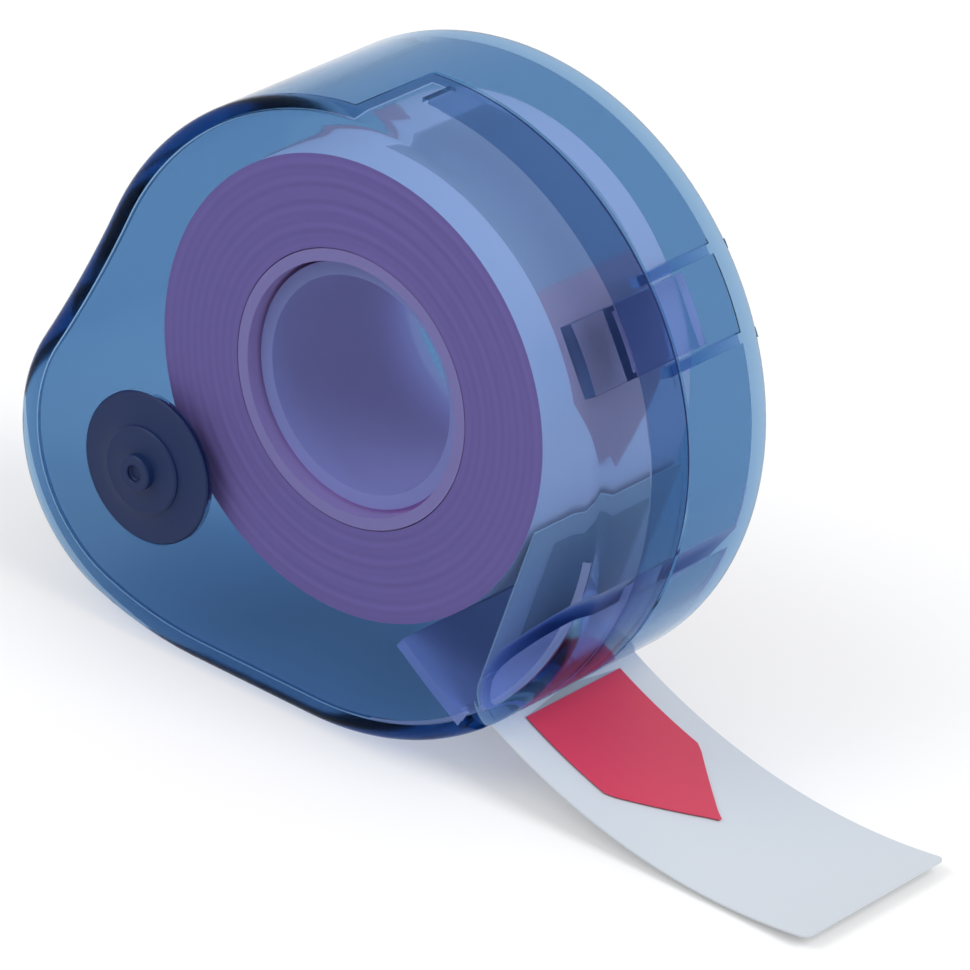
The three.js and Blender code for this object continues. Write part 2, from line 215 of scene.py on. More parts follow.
def select_only(piece):
    bpy.ops.object.select_all(action="DESELECT")
    bpy.context.view_layer.objects.active = piece
    piece.select_set(True)


def apply_modifier(drawn, kind, **settings):
    select_only(drawn)
    modifier = drawn.modifiers.new(kind.lower(), kind)
    for key, value in settings.items():
        setattr(modifier, key, value)
    bpy.ops.object.modifier_apply(modifier=modifier.name)


def combine(drawn, other, operation):
    apply_modifier(drawn, "BOOLEAN", operation=operation, solver="EXACT", object=other)
    bpy.data.objects.remove(other)
    print(drawn.name, operation.lower(), "leaves", len(drawn.data.polygons), "faces")


def copy_of(drawn, name):
    twin = drawn.copy()
    twin.data = drawn.data.copy()
    twin.name = name
    scene.collection.objects.link(twin)
    return twin


# %% [markdown]
# ## The hollow case
# The real case is two mouldings with even walls. Each could be drawn by itself, with its own edges.
# It is easier to make one hollow body first, with the rounded rim all round, and to part it afterwards
# along the stepped seam, because the outer faces of the halves then stay flush.

# %% Outline and rounded body
BIG_STEPS = 126
HOLLOW_STEPS = 8
LOBE_STEPS = 44
BEND_STEPS = 6
ROUND_STEPS = 10
FACE_INSET = 0.4
FLAT = 0.999


def draw_outline(name, inset, y):
    drawn = start_pen(name, (BIG[0], inset), y)
    hollow_turn = angle_to(BIG, HOLLOW)
    lobe_turn = angle_to(LOBE, HOLLOW)
    bend_turn = angle_to(BEND, LOBE)
    big_sweep = (hollow_turn + math.pi / 2) % math.tau
    lobe_sweep = (bend_turn - lobe_turn) % math.tau
    pen_arc(BIG, big_sweep, BIG_STEPS)
    pen_arc(HOLLOW, lobe_turn - hollow_turn, HOLLOW_STEPS)
    pen_arc(LOBE, lobe_sweep, LOBE_STEPS)
    pen_arc(BEND, -math.pi / 2 - bend_turn, BEND_STEPS)
    return drawn


def on_one_face(edge):
    return abs(edge.verts[0].co.y - edge.verts[1].co.y) < MERGE * MM


def faces_front_or_back(face):
    return abs(face.normal.y) > FLAT


def hollow_case():
    body = draw_outline("case", 0, FRONT)
    fill_and_push(BACK - FRONT)
    pick(body, "EDGE", on_one_face)
    bpy.ops.mesh.bevel(offset=EDGE_ROUND * MM, segments=ROUND_STEPS, affect="EDGES")
    # The thin inset ring keeps the shading of the round edge off the flat face.
    pick(body, "FACE", faces_front_or_back)
    bpy.ops.mesh.inset(thickness=FACE_INSET * MM)
    leave_edit(body)
    apply_modifier(body, "SOLIDIFY", thickness=WALL * MM, offset=-1)
    return body


case = hollow_case()

# %% [markdown]
# ## Where the halves part
# The cover owns the whole front skin, and from the slot up to the top also the front half of the rim.
# A slab and a wedge describe that region. The back is what is left, less a hair of room.
# Under the seam a thin lip of the back slides into a rebate of the cover, as moulded boxes have it.

# %% The cover's region and the lap joint
SEAM = 0.15
SEAM_TOP = math.radians(95)
SKIRT = 2.6
PART_GAP = 0.15
REGION_SIDE = 80
REGION_LOW = -40
REGION_HIGH = 100
SLAB_AHEAD = 5
WEDGE_AHEAD = 4
WEDGE_RADIUS = 70
WEDGE_STEPS = 40
LIP_DEPTH = 4.0
LIP_WALL = 0.6
LIP_PLAY = 0.1
LIP_MARGIN = math.radians(5)
LAP_STEPS = 100


def cover_region(grow):
    slab = start_pen("region", (-REGION_SIDE, REGION_LOW), FRONT - SLAB_AHEAD)
    pen_line((-REGION_SIDE, REGION_LOW), (REGION_SIDE, REGION_LOW))
    pen_line((REGION_SIDE, REGION_LOW), (REGION_SIDE, REGION_HIGH))
    pen_line((REGION_SIDE, REGION_HIGH), (-REGION_SIDE, REGION_HIGH))
    fill_and_push(SLAB_AHEAD + SKIRT + grow)
    leave_edit(slab)
    wedge = start_pen("wedge", BIG, FRONT - WEDGE_AHEAD)
    pen_line(BIG, around(BIG, WEDGE_RADIUS, SLOT_TURN))
    pen_arc(BIG, SEAM_TOP + grow / BIG_RADIUS - SLOT_TURN, WEDGE_STEPS)
    fill_and_push(SEAM + grow - FRONT + WEDGE_AHEAD)
    leave_edit(wedge)
    combine(slab, wedge, "UNION")
    return slab


def lap_ring(outer, inner, start, end, trim):
    first = SLOT_TURN + LIP_MARGIN - trim
    sweep = SEAM_TOP - SLOT_TURN - 2 * LIP_MARGIN + 2 * trim
    last = first + sweep
    ring = start_pen("lap", around(BIG, inner, first), start)
    pen_line(around(BIG, inner, first), around(BIG, outer, first))
    pen_arc(BIG, sweep, LAP_STEPS)
    pen_line(around(BIG, outer, last), around(BIG, inner, last))
    pen_arc(BIG, -sweep, LAP_STEPS)
    merge_doubles()
    fill_and_push(end - start)
    return leave_edit(ring)


# %% [markdown]
# ## Round pieces
# The hub, the socket, the stud and the roll are round, so each is half a section that is spun
# once round its own line. A cylinder would do for the tubes, and the same helper does all of them.

# %% Turned pieces
TURN_STEPS = 120


def turned(name, centre, profile, steps=TURN_STEPS):
    drawn = start_pen(name, (centre[0] + profile[0][0], centre[1]), profile[0][1])
    for (r0, y0), (r1, y1) in zip(profile, profile[1:]):
        bpy.ops.mesh.extrude_region_move(
            TRANSFORM_OT_translate={"value": ((r1 - r0) * MM, (y1 - y0) * MM, 0)})
    bpy.ops.mesh.select_all(action="SELECT")
    pen_arc(centre, math.tau, steps)
    merge_doubles()
    bpy.ops.mesh.normals_make_consistent(inside=False)
    return leave_edit(drawn)


def tube(name, centre, inner, outer, start, end):
    profile = [(inner, start), (outer, start), (outer, end), (inner, end), (inner, start)]
    return turned(name, centre, profile)


def rod(name, centre, radius, start, end):
    return turned(name, centre, [(0, start), (radius, start), (radius, end), (0, end)])


# %% [markdown]
# ## Bars and bent walls
# The tongue and the catch ribs are straight bars that point to the middle of the big circle.
# The throat guides are thin walls with a soft bow. Each is a line of points that is pushed back
# and given its thickness, so the strip keeps an even room all along it.

# %% Bars and guides
GUIDE_WALL = 1.2
GUIDE_ROOT = 1
LIP_TURN = math.radians(4)
UPPER_SEAT_TURN = math.radians(37)
UPPER_OFF_STRIP = 1.8
UPPER_SHARE = 0.25
UPPER_STEPS = 8
LOWER_TURN = math.radians(16.6)
LOWER_OFF_ROLL = 1.43
LOWER_BOW = 0.3
LOWER_STEPS = 6


def bar(name, angle, inner, outer, half, aside, start, end):
    along = (math.cos(angle), math.sin(angle))

    def at(r, side):
        across = aside + side * half
        return (BIG[0] + along[0] * r - along[1] * across, BIG[1] + along[1] * r + along[0] * across)

    drawn = start_pen(name, at(inner, -1), start)
    pen_line(at(inner, -1), at(outer, -1))
    pen_line(at(outer, -1), at(outer, 1))
    pen_line(at(outer, 1), at(inner, 1))
    fill_and_push(end - start)
    return leave_edit(drawn)


def bent_wall(name, points, thick, start, end):
    drawn = start_pen(name, points[0], start)
    for before, after in zip(points, points[1:]):
        pen_line(before, after)
    push_back(end - start)
    leave_edit(drawn)
    apply_modifier(drawn, "SOLIDIFY", thickness=thick * MM, offset=0)
    return drawn


# The bow goes through each given point, and its slope there follows the two neighbours.
def bow(points, steps):
    made = []
    ends = [points[0], *points, points[-1]]
    for near_points in zip(ends, ends[1:], ends[2:], ends[3:]):
        for k in range(steps):
            t = k / steps
            weights = (
                -t ** 3 + 2 * t ** 2 - t,
                3 * t ** 3 - 5 * t ** 2 + 2,
                -3 * t ** 3 + 4 * t ** 2 + t,
                t ** 3 - t ** 2)
            made.append(tuple(sum(w * p[i] for w, p in zip(weights, near_points)) / 2 for i in (0, 1)))
    made.append(points[-1])
    return made


def upper_guide(start, end):
    lip = around(BIG, BIG_RADIUS - GUIDE_ROOT, SLOT_TURN + LIP_TURN)
    seat = around(BIG, BIG_RADIUS - GUIDE_ROOT, SLOT_TURN + UPPER_SEAT_TURN)
    beside = around(WRAP_START, UPPER_OFF_STRIP, LEAVE)
    above = between(beside, around(LEAVE_POINT, UPPER_OFF_STRIP, LEAVE), UPPER_SHARE)
    points = bow([lip, beside, above, seat], UPPER_STEPS)
    return bent_wall("upper_guide", points, GUIDE_WALL, start, end)


def lower_guide(start, end):
    lip = around(BIG, BIG_RADIUS - GUIDE_ROOT, SLOT_TURN - LIP_TURN)
    inner = around(ROLL, ROLL_RADIUS + LOWER_OFF_ROLL, SLOT_TURN - LOWER_TURN)
    middle = between(lip, inner, 0.5)
    middle = around(middle, LOWER_BOW, angle_to(BIG, middle))
    return bent_wall("lower_guide", bow([lip, middle, inner], LOWER_STEPS), GUIDE_WALL, start, end)


# %% [markdown]
# ## Camera
# A long lens looks from the right of the front and from above, as the photograph does.
# Its three directions and its distance come from the case's outline, the slot and the strip in the picture.

# %% Camera
FRAME_PIXELS = 970
FOCAL_PIXELS = 8041
SENSOR = 36.0
CAMERA_FROM = Vector((0.5276, -0.7125, 0.4625)).normalized()
CAMERA_RIGHT = Vector((0.7695, 0.6315, 0.0951)).normalized()
PIXELS_PER_MM = 10.5113
BIG_CENTRE_SEEN = (423.63, 384.34)
CLIP_METRES = (0.05, 10)


def add_camera():
    up = CAMERA_FROM.cross(CAMERA_RIGHT).normalized()
    right = up.cross(CAMERA_FROM).normalized()
    distance = FOCAL_PIXELS / PIXELS_PER_MM
    beside = (FRAME_PIXELS / 2 - BIG_CENTRE_SEEN[0]) / PIXELS_PER_MM
    above = (BIG_CENTRE_SEEN[1] - FRAME_PIXELS / 2) / PIXELS_PER_MM
    aim = Vector((BIG[0], 0, BIG[1])) + right * beside + up * above
    place = (aim + CAMERA_FROM * distance) * MM
    bpy.ops.object.camera_add(location=place)
    camera = bpy.context.object
    turn = Matrix((right, up, CAMERA_FROM)).transposed().to_4x4()
    camera.matrix_world = Matrix.Translation(place) @ turn
    camera.data.sensor_width = SENSOR
    camera.data.lens = FOCAL_PIXELS / FRAME_PIXELS * SENSOR
    camera.data.clip_start = CLIP_METRES[0]
    camera.data.clip_end = CLIP_METRES[1]
    scene.camera = camera
    print("camera at", place, "lens", camera.data.lens)


add_camera()

# %% [markdown]
# ## What both halves share
# The slot is cut from both halves, so its room has one maker. The inner walls are cut off
# in the middle of the case's wall by a block, and grow into it there.

# %% Slot room and inside block
SLOT_REACH = 6.3
SLOT_STEPS = 5
SLOT_HEIGHT = 1.8
SLOT_SIDE_ROOM = 0.3
PAST = 1


def slot_room(start, end):
    reaches = (-SLOT_REACH, *range(-SLOT_STEPS, SLOT_STEPS + 1), SLOT_REACH)
    points = [liner_point(SLOT_AT + reach) for reach in reaches]
    return bent_wall("slot_room", points, SLOT_HEIGHT, start, end)


def inside_block():
    block = draw_outline("block", WALL / 2, FRONT + WALL / 2)
    fill_and_push(BACK - FRONT - WALL)
    return leave_edit(block)


# %% [markdown]
# ## The cover
# The cover has the whole front face, the near side of the rim, the guide that turns the strip
# and the springy tongue that slides between two ribs of the back. The stud sits in its small lobe.
# All is joined by booleans and not just pushed together, because in clear plastic a buried face shows.

# %% Make the cover
TONGUE_TURN = math.radians(32)
TONGUE_WALL = 1.2
TONGUE_HALF = 3.5
TONGUE_START = 3.5
TONGUE_END = 20
ROOT_SHORTER = 0.6
REBATE_TRIM = math.radians(1)
NOTCH_REACH = 2.8
NOTCH_HEIGHT = 1.5
CUT_DEPTH = 3
STUD_HOLE_RADIUS = 2.25
STUD_SEAT_RADIUS = 7.9
STUD_SEAT_DEPTH = 0.75


def make_tongue():
    outer = BIG_RADIUS - WALL - PART_GAP
    start = FRONT + TONGUE_START
    blade = bar("tongue", TONGUE_TURN, outer - TONGUE_WALL, outer, TONGUE_HALF, 0, start, FRONT + TONGUE_END)
    root = bar(
        "root", TONGUE_TURN, outer - TONGUE_WALL, BIG_RADIUS - WALL / 2, TONGUE_HALF, 0,
        start, SEAM - LIP_DEPTH - ROOT_SHORTER)
    combine(blade, root, "UNION")
    return blade


def make_cover():
    cover = copy_of(case, "front_cover")
    combine(cover, cover_region(0), "INTERSECT")
    guide = upper_guide(FRONT + WALL / 2, SEAM)
    combine(guide, inside_block(), "INTERSECT")
    combine(cover, guide, "UNION")
    rebate = lap_ring(
        BIG_RADIUS - WALL + LIP_WALL + LIP_PLAY, BIG_RADIUS - WALL - PAST,
        SEAM - LIP_DEPTH - PART_GAP, SEAM + PAST, REBATE_TRIM)
    combine(cover, rebate, "DIFFERENCE")
    combine(cover, make_tongue(), "UNION")
    combine(cover, slot_room(-STRIP_HALF - SLOT_SIDE_ROOM, BACK + PAST), "DIFFERENCE")
    notch_points = [liner_point(SLOT_AT + reach) for reach in (-NOTCH_REACH, 0, NOTCH_REACH)]
    notch = bent_wall("notch", notch_points, NOTCH_HEIGHT, FRONT - PAST, FRONT + CUT_DEPTH)
    combine(cover, notch, "DIFFERENCE")
    hole = rod("stud_hole", LOBE, STUD_HOLE_RADIUS, FRONT - PAST, FRONT + CUT_DEPTH)
    combine(cover, hole, "DIFFERENCE")
    seat = rod("stud_seat", LOBE, STUD_SEAT_RADIUS, FRONT - PAST, FRONT + STUD_SEAT_DEPTH)
    combine(cover, seat, "DIFFERENCE")
    return cover


front_cover = make_cover()

# %% [markdown]
# ## The back
# The back has the rest of the rim, the rear face, the hub that the roll turns on, the socket
# that takes the stud's shank, the lower throat guide and the two ribs beside the tongue.
# A fine groove along the seam stands for the soft edges that two real mouldings have there; its floor is
# painted dark navy later as painted shade.

# %% Make the back
HUB_OUTER = 12.3
HUB_WALL = 1.4
HUB_FRONT = -9.3
SOCKET_BORE = 2.4
SOCKET_OUTER = 3.2
SOCKET_START = 3
RIB_DEEP = 2.3
RIB_HALF = 0.5
RIB_ASIDE = 4.4
RIB_ROOM = 0.3
LIP_BITE = 0.01
GROOVE_DEPTH = 0.3
GROOVE_WIDTH = 0.5
GROOVE_PROUD = 0.2


def add_throat(back, rear):
    upper = upper_guide(SEAM + PART_GAP, rear)
    combine(upper, inside_block(), "INTERSECT")
    combine(back, upper, "UNION")
    lower = lower_guide(FRONT + WALL + PART_GAP, rear)
    combine(lower, inside_block(), "INTERSECT")
    combine(back, lower, "UNION")


def make_back():
    back = copy_of(case, "case_rear")
    combine(back, cover_region(PART_GAP), "DIFFERENCE")
    lip = lap_ring(
        BIG_RADIUS - WALL + LIP_WALL, BIG_RADIUS - WALL - LIP_BITE, SEAM - LIP_DEPTH, SEAM + PAST, 0)
    combine(back, lip, "UNION")
    rear = BACK - WALL / 2
    add_throat(back, rear)
    combine(back, tube("hub", ROLL, HUB_OUTER - HUB_WALL, HUB_OUTER, HUB_FRONT, rear), "UNION")
    socket = tube("socket", LOBE, SOCKET_BORE, SOCKET_OUTER, FRONT + WALL + SOCKET_START, rear)
    combine(back, socket, "UNION")
    outer = BIG_RADIUS - WALL / 2
    for side in (-1, 1):
        rib = bar(
            "rib", TONGUE_TURN, outer - RIB_DEEP, outer, RIB_HALF, side * RIB_ASIDE,
            SEAM + RIB_ROOM, rear)
        combine(back, rib, "UNION")
    combine(back, slot_room(FRONT - PAST, STRIP_HALF + SLOT_SIDE_ROOM), "DIFFERENCE")
    groove = lap_ring(
        BIG_RADIUS + GROOVE_PROUD, BIG_RADIUS - GROOVE_DEPTH, SEAM, SEAM + GROOVE_WIDTH, LIP_MARGIN)
    combine(back, groove, "DIFFERENCE")
    return back


case_rear = make_back()
bpy.data.objects.remove(case)

# %% [markdown]
# ## Smooth shading
# Moulded arcs are smooth and moulded corners are crisp. Shading all smooth would smear the corners,
# so only edges under thirty degrees are smoothed.

# %% Smooth shading
CRISP = math.radians(30)


def smooth(*pieces):
    for piece in pieces:
        select_only(piece)
        bpy.ops.object.shade_smooth_by_angle(angle=CRISP)
        print(piece.name, "is smooth under", round(math.degrees(CRISP)), "degrees")


smooth(front_cover, case_rear)

# %% [markdown]
# ## The locking stud
# A turned form: a wide sunk head, a raised step, a small nub with a dimple, and the shank behind.
# The section is radius and depth behind the front face, and small slopes stand for the moulded rounds.

# %% Stud
STUD_SECTION = [
    (0, -1.3), (0.7, -1.3), (0.85, -1.45), (0.85, -1.7), (0.95, -1.8), (1.7, -1.8), (1.85, -1.65),
    (1.85, -0.85), (1.95, -0.8), (4.3, -0.8), (4.5, -0.65), (4.5, -0.4), (4.7, -0.32), (6.1, -0.02),
    (7.6, 0), (7.8, 0.15), (7.8, 0.6), (2.1, 0.6), (2.1, 15.3), (1.8, 15.6), (0, 15.6)]
stud = turned("lock_stud", LOBE, [(radius, FRONT + behind) for radius, behind in STUD_SECTION])
smooth(stud)

# %% [markdown]
# ## The roll
# Thin liner with flags, wound some sixty turns deep. Single turns are finer than the picture shows,
# so the sides get a few wider steps, and the finish draws the turns between them.

# %% Wound turns and card core
CORE_BORE = 12.7
CORE_WALL = 1.2
CORE_PLAY = 0.1
ROLL_BANDS = 12
ROLL_STEPS = 160
BAND_SLOPE = 0.05
BAND_SINK = 0.03


def wound_profile(inner, outer, half, bands):
    pitch = (outer - inner) / bands
    front = []
    for k in range(bands):
        sink = BAND_SINK if k % 2 else 0.0
        front.append((inner + k * pitch + BAND_SLOPE, -half + sink))
        front.append((inner + (k + 1) * pitch - BAND_SLOPE, -half + sink))
    front[0] = (inner, front[0][1])
    front[-1] = (outer, front[-1][1])
    back = [(r, -y) for r, y in reversed(front)]
    return [*front, *back, front[0]]


wound_section = wound_profile(CORE_BORE + CORE_WALL + CORE_PLAY, ROLL_RADIUS, STRIP_HALF, ROLL_BANDS)
wound = turned("wound_flags", ROLL, wound_section, ROLL_STEPS)
core = tube("card_core", ROLL, CORE_BORE, CORE_BORE + CORE_WALL, -STRIP_HALF, STRIP_HALF)
smooth(wound, core)

# %% [markdown]
# ## The strip of liner
# The free strip is one sheet, so it is one line drawn with the pen along the strip's path,
# pushed to the strip's width and given its thickness. The two corners of its end are cut round.

# %% Strip
WRAP_STEPS = 16
FEWEST_CURL_STEPS = 4
STRIP_SHEET = 0.16
STRIP_CORNER = 0.9
CORNER_STEPS = 4
NEAR = 0.01


def lifted_point(distance, lift):
    point = liner_point(distance)
    if distance <= STRAIGHT:
        return around(point, lift, LEAVE)
    centre = WRAP if distance < SLOT_AT else CURL
    return around(point, lift, angle_to(point, centre))


# The line starts and ends at these distances from the roll, and the lift is its height over the liner.
def strip_line(name, lift, start, end, y):
    drawn = start_pen(name, lifted_point(start, lift), y)
    if start < STRAIGHT:
        pen_line(lifted_point(start, lift), lifted_point(STRAIGHT, lift))
    if start < SLOT_AT:
        pen_arc(WRAP, (SLOT_AT - max(start, STRAIGHT)) / WRAP_RADIUS, WRAP_STEPS)
    curl_steps = max(FEWEST_CURL_STEPS, round(end - SLOT_AT))
    pen_arc(CURL, (end - max(start, SLOT_AT)) / CURL_RADIUS, curl_steps)
    return drawn


strip = strip_line("liner_tongue", 0, 0.0, STRIP_LENGTH, -STRIP_HALF)
push_back(2 * STRIP_HALF)
end_x = max(vertex.co.x for vertex in bmesh.from_edit_mesh(strip.data).verts)
pick(strip, "VERT", lambda vertex: vertex.co.x > end_x - NEAR * MM)
bpy.ops.mesh.bevel(offset=STRIP_CORNER * MM, segments=CORNER_STEPS, affect="VERTICES")
leave_edit(strip)
apply_modifier(strip, "SOLIDIFY", thickness=STRIP_SHEET * MM, offset=0)
smooth(strip)
print("the strip is", 2 * STRIP_HALF, "wide and", STRIP_LENGTH, "long")

# %% [markdown]
# ## The flags
# A flag is a strip of film: the front half is printed red and cut to an arrow, the rest is clear.
# It is drawn like the strip, a hair above the liner, and the rows of its head are narrowed one by one.
# The red and the clear part are one sheet, so the faces of the tail get a second finish and no seam.

# %% Helpers for the flags
FLAG_HALF = 7.15
FLAG_ASIDE = 0.3
FLAG_LENGTH = 41.0
FLAG_RED = 19.7
FLAG_HEAD = 8.6
TIP_SHARE = 0.02


def spot_of(co):
    return (co.x / MM, co.z / MM)


def narrow(drawn, wanted, share):
    pick(drawn, "VERT", lambda vertex: wanted(vertex.co))
    bpy.ops.transform.resize(value=(1, share, 1), center_override=(0, FLAG_ASIDE * MM, 0))


def head_share(from_tip):
    return min(1.0, max(TIP_SHARE, from_tip / FLAG_HEAD))


def mark_tail(flag, in_tail):
    for face in flag.data.polygons:
        face.material_index = 1 if in_tail(face.center) else 0
    print(flag.name, "has", sum(face.material_index for face in flag.data.polygons), "clear faces")


# %% The flag on the strip
FLAG_OUT = 20.7
FLAG_LIFT = 0.28
FLAG_SHEET = 0.09
ABOVE_SLOT = 1


def distance_on_curl(co):
    turn = angle_to(CURL, spot_of(co)) - EXIT
    return SLOT_AT + (turn % math.tau) * CURL_RADIUS


def is_low(co):
    return co.z / MM < SLOT[1] + ABOVE_SLOT


def strip_flag():
    tip = SLOT_AT + FLAG_OUT
    flag = strip_line("strip_flag", FLAG_LIFT, tip - FLAG_LENGTH, tip, FLAG_ASIDE - FLAG_HALF)
    push_back(2 * FLAG_HALF)
    mesh = bmesh.from_edit_mesh(flag.data)
    outside = [v.co for v in mesh.verts if v.co.x / MM > SLOT[0] and is_low(v.co)]
    rows = sorted({round(tip - distance_on_curl(co), 3) for co in outside})
    for from_tip in [row for row in rows if row < FLAG_HEAD]:
        def in_row(co, row=from_tip):
            return is_low(co) and abs(tip - distance_on_curl(co) - row) < NEAR

        narrow(flag, in_row, head_share(from_tip))
    leave_edit(flag)
    apply_modifier(flag, "SOLIDIFY", thickness=FLAG_SHEET * MM, offset=0)
    red_x = around(CURL, CURL_RADIUS, EXIT + (FLAG_OUT - FLAG_RED) / CURL_RADIUS)[0]
    mark_tail(flag, lambda spot: spot.x / MM < red_x or spot.z / MM > SLOT[1] + ABOVE_SLOT)
    return flag


arrow = strip_flag()
smooth(arrow)

# %% The flags on the roll
ROLL_FLAGS = 3
FLAG_PITCH = 44.2
ROLL_FLAG_LIFT = 0.15
ROLL_FLAG_SHEET = 0.12
HEAD_STEPS = 8
RED_STEPS = 12
TAIL_STEPS = 18
NEAR_ROW = 0.05


def roll_flag(number):
    radius = ROLL_RADIUS + ROLL_FLAG_LIFT
    tip = (FLAG_PITCH * (number + 1) - FLAG_LENGTH) / radius + LEAVE
    flag = start_pen(f"turn_flag_{number + 1}", around(ROLL, radius, tip), FLAG_ASIDE - FLAG_HALF)
    pen_arc(ROLL, FLAG_HEAD / radius, HEAD_STEPS)
    pen_arc(ROLL, (FLAG_RED - FLAG_HEAD) / radius, RED_STEPS)
    pen_arc(ROLL, (FLAG_LENGTH - FLAG_RED) / radius, TAIL_STEPS)
    push_back(2 * FLAG_HALF)
    for k in range(HEAD_STEPS):
        row_place = around(ROLL, radius, tip + FLAG_HEAD / radius * k / HEAD_STEPS)

        def in_row(co, place=row_place):
            return math.dist(spot_of(co), place) < NEAR_ROW

        narrow(flag, in_row, head_share(FLAG_HEAD * k / HEAD_STEPS))
    leave_edit(flag)
    apply_modifier(flag, "SOLIDIFY", thickness=ROLL_FLAG_SHEET * MM, offset=0)
    red_sweep = FLAG_RED / radius
    mark_tail(flag, lambda spot: (angle_to(ROLL, spot_of(spot)) - tip) % math.tau > red_sweep)
    return flag


turn_flags = [roll_flag(number) for number in range(ROLL_FLAGS)]
smooth(*turn_flags)

# %% [markdown]
# ## What rides on what
# The rear half, the strip and its flag stay still. The cover and the stud pull off together.
# The core, the wound liner and the flags on it turn round the hub.

# %% Bodies, nodes and slots
PLACES = [
    (case_rear, "case", ["case_back"], "case_back"),
    (front_cover, "cover", ["case_cover"], "case_cover"),
    (stud, "cover", ["locking_stud"], "stud"),
    (core, "roll", ["roll_core"], "core_card"),
    (wound, "roll", ["flag_roll"], "wound_liner"),
    (strip, "case", ["liner_strip"], "liner"),
    (arrow, "case", ["arrow_flag"], "flag_film"),
    (turn_flags[0], "roll", ["roll_flag_1"], "flag_film"),
    (turn_flags[1], "roll", ["roll_flag_2"], "flag_film"),
    (turn_flags[2], "roll", ["roll_flag_3"], "flag_film"),
]
for piece, body, nodes, slot in PLACES:
    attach(piece, body)
    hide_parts(*nodes)
    print(piece.name, "rides on", body, "and replaces", nodes)

# %% [markdown]
# ## Colours and nodes
# A colour is written as the hex value that the eye picks, and one function turns it to linear light.
# One more function adds a node with its settings and links. A socket is given by its name,
# or by i and its number where two sockets share a name.

# %% Helpers for materials


def linear(hex_colour):
    channels = [int(hex_colour[k:k + 2], 16) / 255 for k in (0, 2, 4)]
    light = [c / 12.92 if c <= 0.04045 else ((c + 0.055) / 1.055) ** 2.4 for c in channels]
    return (*light, 1.0)


def new_material(name):
    material = bpy.data.materials.new(name)
    material.use_nodes = True
    material.node_tree.nodes.clear()
    print("made", name)
    return material


def socket_of(made, key):
    if key[0] == "i" and key[1:].isdigit():
        return made.inputs[int(key[1:])]
    return made.inputs[key.replace("_", " ")]


def node(owner, kind, settings=None, **sockets):
    made = owner.node_tree.nodes.new(kind)
    for key, value in (settings or {}).items():
        setattr(made, key, value)
    for key, value in sockets.items():
        socket = socket_of(made, key)
        if isinstance(value, bpy.types.NodeSocket):
            owner.node_tree.links.new(value, socket)
        else:
            socket.default_value = value
    return made


# Both inputs are one or nothing, so the larger of them says whether either holds.
def either(owner, first, second):
    return node(owner, "ShaderNodeMath", {"operation": "MAXIMUM"}, i0=first, i1=second).outputs["Value"]


# %% [markdown]
# ## The skin of moulded pieces
# No moulded face is quite flat. Thick clear walls ripple softly, and thin or matt pieces have a fine grain.
# Both are the same soft bump with another spacing. The real grain is finer than the picture shows,
# so it is drawn about one millimetre wide.

# %% Grain
RIPPLES_PER_MM = 0.06
GRAINS_PER_MM = 0.9
RIPPLE_DEPTH = 0.2
GRAIN_DEPTH = 0.1
SOFT = 0.05
SATIN = 0.1


def moulded_skin(material, per_mm, strength, depth):
    place = node(material, "ShaderNodeTexCoord").outputs["Object"]
    flow = node(material, "ShaderNodeTexNoise", Vector=place, Scale=per_mm / MM, Detail=2.0)
    bump = node(
        material, "ShaderNodeBump", Height=flow.outputs["Fac"], Strength=strength, Distance=depth * MM)
    return bump.outputs["Normal"]


# %% [markdown]
# ## Tinted styrene
# The case is clear styrene with a blue dye, moulded and glossy. The dye could be a colour on the surface,
# which tints every wall by the same amount, or a volume that darkens light by the depth that it crosses.
# Here most of the tint is on the surface, and a weak volume deepens the rim, seen along its length.
# The index is far below styrene's own, because in these thin walls a true one turns whole edges black.
# Shadow and diffuse rays pass straight through, so the roll inside stays lit.

# %% Tinted styrene
STYRENE_INDEX = 1.1
GLOSS_TINT = "90A8E0"
LAMP_TINT = "F5F5FA"
DYE = "00AADA"
DYE_PER_MM = 0.1


def tinted_styrene(name, roughness, surface_hex):
    material = new_material(name)
    skin = moulded_skin(material, RIPPLES_PER_MM, SOFT, RIPPLE_DEPTH)
    plastic = node(
        material, "ShaderNodeBsdfPrincipled", Base_Color=linear(surface_hex), Roughness=roughness,
        IOR=STYRENE_INDEX, Transmission_Weight=1.0, Specular_Tint=linear(GLOSS_TINT), Normal=skin)
    lamp_pass = node(material, "ShaderNodeBsdfTransparent", Color=linear(LAMP_TINT))
    path = node(material, "ShaderNodeLightPath")
    unbent = either(material, path.outputs["Is Shadow Ray"], path.outputs["Is Diffuse Ray"])
    mixed = node(
        material, "ShaderNodeMixShader", i0=unbent, i1=plastic.outputs["BSDF"], i2=lamp_pass.outputs["BSDF"])
    dye = node(material, "ShaderNodeVolumeAbsorption", Color=linear(DYE), Density=DYE_PER_MM / MM)
    node(
        material, "ShaderNodeOutputMaterial",
        Surface=mixed.outputs["Shader"], Volume=dye.outputs["Volume"])
    return material


CASE_PLASTIC = tinted_styrene("moulded_tinted_styrene", 0.09, "A7C1D9")
# The tongue's near-white tint is a painted highlight: a paler copy of the styrene that stands in for the
# band of light on the tongue's slope.
TONGUE_PAINTED_HIGHLIGHT = tinted_styrene("tongue_styrene_painted_pale_highlight", 0.2, "E4E4F8")

# %% [markdown]
# ## Solid pieces
# The stud is dark styrene whose dark navy is partly painted shade, the flag on the strip is printed film,
# the liner is coated paper and the core is wound card. None lets light through, so a base colour and a
# roughness are enough.
# The floor of the groove along the seam is painted dark navy as painted shade, because the real groove
# gathers no light.

# %% Plain finishes


